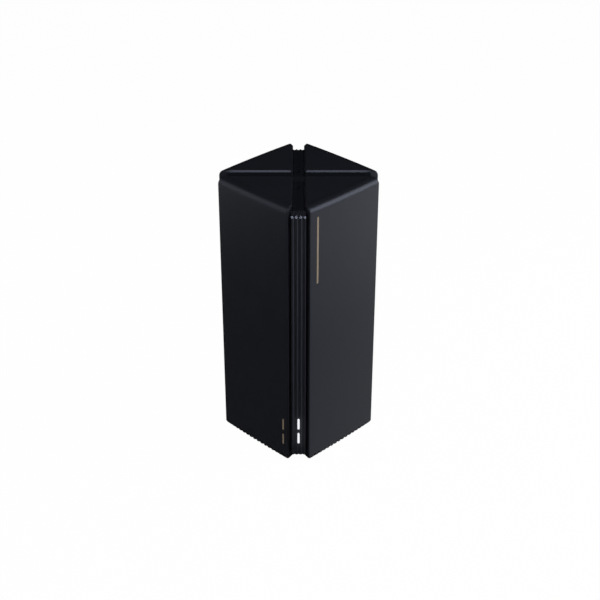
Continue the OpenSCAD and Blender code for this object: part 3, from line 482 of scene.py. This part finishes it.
# One strip: a core with ribs of height |sin| on it, and a neck that widens between the shells' tips.
# What a rib stands out past the ledge is cut by a flat bevel, z falling by steep for each step out, and
# behind it a slope runs back to the top. Windows are pill-shaped gaps.
def buildStrip(name, direction, foot, windows):
    f = stripForm
    inWindow = f["windowHalf"] * np.sin(np.radians(np.linspace(90, -90, f["windowColumns"])))
    ribX = np.concatenate([np.linspace(f["half"], f["windowHalf"], f["sideColumns"] + 1)[:-1], inWindow,
                           np.linspace(-f["windowHalf"], -f["half"], f["sideColumns"] + 1)[1:]])
    core = f["out"] - f["ribDepth"]
    x = np.concatenate([[f["neck"]] * 2, ribX, [-f["neck"]] * 2])
    y = np.concatenate([[f["back"], f["neckEnd"]], np.full(len(ribX), core), [f["neckEnd"], f["back"]]])
    rib = np.where(y == core, f["ribDepth"] * np.abs(np.sin(np.pi * x / f["ribPitch"])), 0)
    # rows: pill ends bow out by a half circle inside the window's width
    bow = np.sqrt(np.maximum(0, f["windowHalf"] ** 2 - x * x))
    half = f["windowLength"] / 2 - f["windowHalf"]
    levels = [foot + 0 * x]
    for middle in windows:
        levels += [middle - half - bow, middle + half + bow]
    proud = np.maximum(rib - f["ledge"], 0)
    lift = f["crest"] * proud / (f["ribDepth"] - f["ledge"])
    z = np.stack(levels + [f["ribTop"] - f["steep"] * proud, f["ribTop"] + lift, f["top"] + 0 * x])
    ribs = np.tile(rib, (len(z), 1))
    ribs[-2] -= proud + lift / f["steep"]
    ribs[-1] = 0
    lip = np.zeros((len(z), 1))
    lip[-1] = f["slope"]
    outer = stacked(x, np.minimum(y, core - lip) + ribs, z)
    outer[:, [0, -1], 1] = f["back"]
    inner = stacked(np.clip(x, -f["neck"], f["neck"]), f["back"], z)
    solid = np.ones((len(z) - 1, len(x) - 1), bool)
    gap = np.abs(x[:-1] + x[1:]) / 2 < f["windowHalf"]
    solid[1:2 * len(windows):2, gap] = False
    piece = walledSheet(name, turned(outer, direction - 90), turned(inner, direction - 90), solid, False,
                        finishes["strip"], f["crease"])
    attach(piece, "housing")
    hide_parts(name.removesuffix("_skin"))


buildStrip("front_strip_skin", 270, stripForm["foot"], windowPlaces)
buildStrip("left_strip_skin", 180, stripForm["foot"], ())
buildStrip("right_strip_skin", 0, stripForm["foot"], ())
buildStrip("rear_strip_skin", 90, stripForm["panelFoot"], ())
print("corner strips built")


# Lit windows

lensForm = dict(half=0.75, length=8.5, back=37.36, front=51.3, round=0.3, dome=0.05,
                arcSteps=17, roundSteps=6, domeSteps=4)


# One light guide: pill rings from the back to a softly domed front. A ring's inset shrinks the pill evenly.
def buildLens(name, middle):
    f = lensForm
    t = np.linspace(0, np.pi, f["arcSteps"])
    half = f["length"] / 2 - f["half"]
    circle = np.concatenate([t, t + np.pi])
    shift = np.repeat([half, -half], len(t))
    e = np.radians(np.linspace(0, 90, f["roundSteps"]))
    share = np.linspace(0, 1, f["domeSteps"] + 1)[1:]
    inset = np.concatenate([[f["half"], 0], f["round"] * (1 - np.cos(e)),
                            f["round"] + (f["half"] - f["round"]) * share])
    depth = np.concatenate([[f["back"], f["back"]], f["front"] - f["dome"] - f["round"] * (1 - np.sin(e)),
                            f["front"] - f["dome"] * (1 - share ** 2)])
    r = (f["half"] - inset)[:, None]
    rings = stacked(r * np.cos(circle), -depth[:, None], middle + shift + r * np.sin(circle))
    piece = ringSkin(name, rings, finishes["light"])
    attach(piece, "housing")
    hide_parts(name.removesuffix("_lens"))


buildLens("lower_light_pipe_lens", windowPlaces[0])
buildLens("upper_light_pipe_lens", windowPlaces[1])
print("light guides built")


# Turned pieces: a profile of radius and height carried round an axis

def turnedRings(profile, steps):
    angle = np.linspace(0, 2 * np.pi, steps + 1)[:-1]
    r, z = np.array(profile).T[..., None]
    return stacked(r * np.cos(angle), r * np.sin(angle), z + 0 * angle)


footForm = dict(radius=5.0, pad=3.0, place=31.0, top=4.5, edge=0.7, edgeSteps=7, steps=48)


# Feet: a flat pad with a rounded lower edge
def buildFeet():
    f = footForm
    e = np.radians(np.linspace(-90, 0, f["edgeSteps"]))
    edge = np.stack([f["radius"] - f["edge"] * (1 - np.cos(e)), f["edge"] * (1 + np.sin(e))], 1)
    profile = np.concatenate([[(0, 0), (f["pad"], 0)], edge, [(f["radius"], f["top"]), (0, f["top"])]])
    one = turnedRings(profile, f["steps"]) + np.array([f["place"], 0, 0])
    feet = np.stack([turned(one, angle) for angle in (270, 0, 90, 180)])
    piece = ringSkin("rubber_feet_skin", feet, finishes["rubber"])
    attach(piece, "housing")
    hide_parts("rubber_feet")


buildFeet()

buttonForm = dict(radius=4.0, rim=5.2, stem=1.5, stemBack=39.15, rimBack=42.497, rimFront=43.597,
                  front=46.347, edge=0.45, dish=0.35, z=97.0, edgeSteps=7, dishSteps=8, steps=48)


# Pairing button: stem, flange, and a cap with a rounded edge and a dished face
def buildButton():
    f = buttonForm
    e = np.radians(np.linspace(0, 90, f["edgeSteps"]))
    dish = np.linspace(f["radius"] - f["edge"], 0, f["dishSteps"] + 1)[1:]
    stem = [(0, f["stemBack"]), (f["stem"], f["stemBack"]), (f["stem"], f["rimBack"])]
    rim = [(f["rim"], f["rimBack"]), (f["rim"], f["rimFront"]), (f["radius"], f["rimFront"])]
    edge = np.stack([f["radius"] - f["edge"] * (1 - np.cos(e)), f["front"] - f["edge"] * (1 - np.sin(e))], 1)
    face = np.stack([dish, f["front"] - f["dish"] * (1 - (dish / dish[0]) ** 2)], 1)
    x, z, y = np.moveaxis(turnedRings(np.concatenate([stem, rim, edge, face]), f["steps"]), -1, 0)
    piece = ringSkin("mesh_button_cap", stacked(-x, y, z + f["z"]), finishes["button"])
    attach(piece, "mesh_button")
    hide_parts("mesh_button")


buildButton()
print("feet and button built")


# Gilt rules on the faces

ruleForm = dict(width=1.4, proud=0.03, sunk=0.05, columns=9, rows=7)


# One rule: a thin round-ended bar laid on the crowned face, at a place along the face
def ruleGrid(direction, along, low, high):
    f = ruleForm
    half = f["width"] / 2
    across = half * np.sin(np.radians(np.linspace(90, -90, f["columns"])))
    bow = np.sqrt(np.maximum(0, half * half - across * across))
    share = np.linspace(0, 1, f["rows"])[:, None]
    z = (low + half - bow) * (1 - share) + (high - half + bow) * share
    angle = (along + across) / shellForm["faceRadius"]
    grids = []
    for lift in (f["proud"], -f["sunk"]):
        r = shellForm["faceRadius"] + lift
        grids.append(turned(stacked(r * np.sin(angle), r * np.cos(angle) + crownY, z), direction - 90))
    return grids


def buildRule(name, direction, along, low, high):
    outer, inner = ruleGrid(direction, along, low, high)
    solid = np.ones((outer.shape[0] - 1, outer.shape[1] - 1), bool)
    piece = walledSheet(name, outer, inner, solid, False, giltFinish)
    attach(piece, "housing")


buildRule("face_rule", 315, 24.5, 136.4, 183.4)
buildRule("upper_light_rule", 225, -26.7, 23.8, 32.6)
buildRule("lower_light_rule", 225, -26.7, 12.0, 20.5)
print("gilt rules laid")


# Small CAD edges catch the light

softEdges = dict(widths={"port_panel": 0.18, "vent_cross": 0.15, "base_cover": 0.2}, segments=2, angle=40)
for name, width in softEdges["widths"].items():
    weld = nodes[name].modifiers.new("weld", "WELD")
    weld.merge_threshold = meshForm["seam"]
    soften = nodes[name].modifiers.new("soften", "BEVEL")
    soften.width, soften.segments = width * mm, softEdges["segments"]
    soften.limit_method, soften.angle_limit = "ANGLE", math.radians(softEdges["angle"])
print("edges softened:", len(softEdges["widths"]))


# Stage: pale floor that sweeps up far away, soft boxes, camera

# shade is the tone of the painted shadow under the object; under and tips give its reach
stageForm = dict(rings=(0.0, 0.5, 2.0, 8.0), flat=24.0, sweep=3.0, wall=3.6, sweepSteps=9, steps=96,
                 colour=(0.80, 0.80, 0.80), shade=(0.01, 0.01, 0.012), white=0.985, under=0.0565, tips=0.039)


def plainWhite(wire):
    return wire.add("ShaderNodeEmission", None, {"Color": rgba((1, 1, 1)), "Strength": 1.0})


def mixShaders(wire, share, first, second):
    return wire.add("ShaderNodeMixShader", None, {0: share, 1: first, 2: second})


# Floor: a disc that curves up into a low round wall, with a painted shadow under the object's faces
def buildFloor():
    f = stageForm
    e = np.radians(np.linspace(0, 90, f["sweepSteps"]))
    sweep = np.stack([f["flat"] + f["sweep"] * np.sin(e), f["sweep"] * (1 - np.cos(e))], 1)
    profile = np.concatenate([[(r, 0) for r in f["rings"]], sweep, [(f["flat"] + f["sweep"], f["wall"])]])
    material, wire = newMaterial("paleFloor")
    ray = wire.add("ShaderNodeLightPath", out="Is Camera Ray")
    seen = ray + ray.also("Is Glossy Ray") + ray.also("Is Transmission Ray")
    # painted shadow: under the faces, where the intake notches look in, the floor takes the shade tone and
    # its white is held back
    place = wire.add("ShaderNodeSeparateXYZ", None, {0: wire.add("ShaderNodeTexCoord", out="Object")})
    x, y = wire.math("ABSOLUTE", place), wire.math("ABSOLUTE", place.also("Y"))
    under = wire.math("LESS_THAN", x + y, f["under"])
    under = under * wire.math("LESS_THAN", wire.math("ABSOLUTE", x - y), f["tips"])
    pale, paintedShadow = (wire.add("ShaderNodeBsdfDiffuse", None, {"Color": rgba(f[tone])})
                  for tone in ("colour", "shade"))
    lit = mixShaders(wire, under, pale, paintedShadow)
    share = seen * f["white"] * (1 - under)
    closeMaterial(wire, mixShaders(wire, share, lit, plainWhite(wire)))
    floor = ringSkin("floor", turnedRings(profile, f["steps"]) / mm, material)


buildFloor()

# Card: a tinted card round the object that only its gloss mirrors, so that its sides don't all mirror
# the same white floor. It is black in front and behind, light to the right and grey to the left.
cardForm = dict(rings=(0.0, 0.05, 0.2, 1.0), radius=3.0, rim=0.7, lift=0.0004, steps=96,
                felt=(0.004, 0.004, 0.004), corner=0.04, edge=0.5, full=0.85,
                right=((0.0, 0.52), (0.22, 0.52), (0.34, 1.0), (0.9, 1.0), (1.0, 0.0)),
                left=((0.0, 0.06), (0.34, 0.03), (0.5, 0.5), (0.9, 0.5), (1.0, 0.0)))


def buildCard():
    f = cardForm
    material, wire = newMaterial("tintedCard")
    place = wire.add("ShaderNodeTexCoord", out="Object")
    away = wire.add("ShaderNodeVectorMath", {"operation": "LENGTH"}, {0: place}, "Value")
    x = wire.add("ShaderNodeSeparateXYZ", None, {0: place})
    past = wire.math("MAXIMUM", wire.math("ABSOLUTE", x.also("Y")) - f["corner"], 0.0)
    toRight = x / wire.math("SQRT", x * x + past * past)
    shares = []
    for side, sign in (("right", 1.0), ("left", -1.0)):
        facing = wire.add("ShaderNodeMapRange", {"interpolation_type": "SMOOTHSTEP"},
                          {"Value": toRight * sign, "From Min": f["edge"], "From Max": f["full"]})
        stops = [(at, rgba((v, v, v))) for at, v in f[side]]
        shares.append(facing * wire.add("ShaderNodeValToRGB", {"stops": stops}, {0: away}))
    felt = wire.add("ShaderNodeBsdfDiffuse", None, {"Color": rgba(f["felt"])})
    closeMaterial(wire, mixShaders(wire, shares[0] + shares[1], felt, plainWhite(wire)))
    profile = [(r, 0) for r in (*f["rings"], f["radius"])] + [(f["radius"], f["rim"])]
    rings = (turnedRings(profile, f["steps"]) + np.array([0, 0, f["lift"]])) / mm
    card = ringSkin("tintedCard", rings, material)
    card.visible_camera = card.visible_diffuse = card.visible_shadow = False


buildCard()

lamps = {
    "keyBox": dict(place=(0.65, -0.06, 0.37), aim=(0, 0, 0.15), size=(0.45, 0.50), power=3.1),
    "rightTop": dict(place=(0.92, 0.08, 0.76), aim=(0, 0, 0.19), size=(0.6, 0.6), power=0.35),
    "leftTop": dict(place=(-0.92, 0.08, 0.76), aim=(0, 0, 0.19), size=(0.6, 0.8), power=0.45),
    "leftFill": dict(place=(-0.62, -0.06, 0.36), aim=(0, 0, 0.15), size=(0.4, 0.55), power=0.62),
    "rearLeft": dict(place=(-0.76, 0.475, 0.11), aim=(0, 0, 0.11), size=(0.25, 0.25), power=1.7),
    "rearRight": dict(place=(0.76, 0.475, 0.11), aim=(0, 0, 0.11), size=(0.25, 0.25), power=1.7),
    "catchLight": dict(place=(0.0, -0.95, 0.70), aim=(0, -0.05, 0.186), size=(0.12, 0.12), power=1.5),
    "frontTop": dict(place=(0.0, -0.55, 1.13), aim=(0, 0, 0.19), size=(0.6, 0.6), power=5.7),
}


def aimed(place, aim):
    # turn that points a lamp at its aim
    away = np.array(place) - np.array(aim)
    flat = math.hypot(away[0], away[1])
    return (math.atan2(flat, away[2]), 0.0, math.atan2(away[0], -away[1]))


for name, lamp in lamps.items():
    light = bpy.data.lights.new(name, "AREA")
    light.shape, light.size, light.size_y = "RECTANGLE", *lamp["size"]
    light.energy = lamp["power"]
    box = bpy.data.objects.new(name, light)
    box.location, box.rotation_euler = lamp["place"], aimed(lamp["place"], lamp["aim"])
    bpy.context.scene.collection.objects.link(box)

skyColour = (0.014, 0.014, 0.015)
world = bpy.data.worlds.new("studio")
world.use_nodes = True
world.node_tree.nodes["Background"].inputs["Color"].default_value = rgba(skyColour)
bpy.context.scene.world = world

cameraForm = dict(place=(0.0, -0.7550, 0.5375), down=30.32, sensor=36.0, lens=77.24,
                  shift=(1.45 / 600, 1.44 / 600))  # shift in pixels of a 600-pixel frame
camera = bpy.data.objects.new("camera", bpy.data.cameras.new("camera"))
camera.data.sensor_width, camera.data.lens = cameraForm["sensor"], cameraForm["lens"]
camera.data.shift_x, camera.data.shift_y = cameraForm["shift"]
camera.location = cameraForm["place"]
camera.rotation_euler = (math.radians(90 - cameraForm["down"]), 0, 0)
bpy.context.scene.collection.objects.link(camera)
bpy.context.scene.camera = camera
bpy.context.scene.view_settings.view_transform = "Standard"
print("stage set")
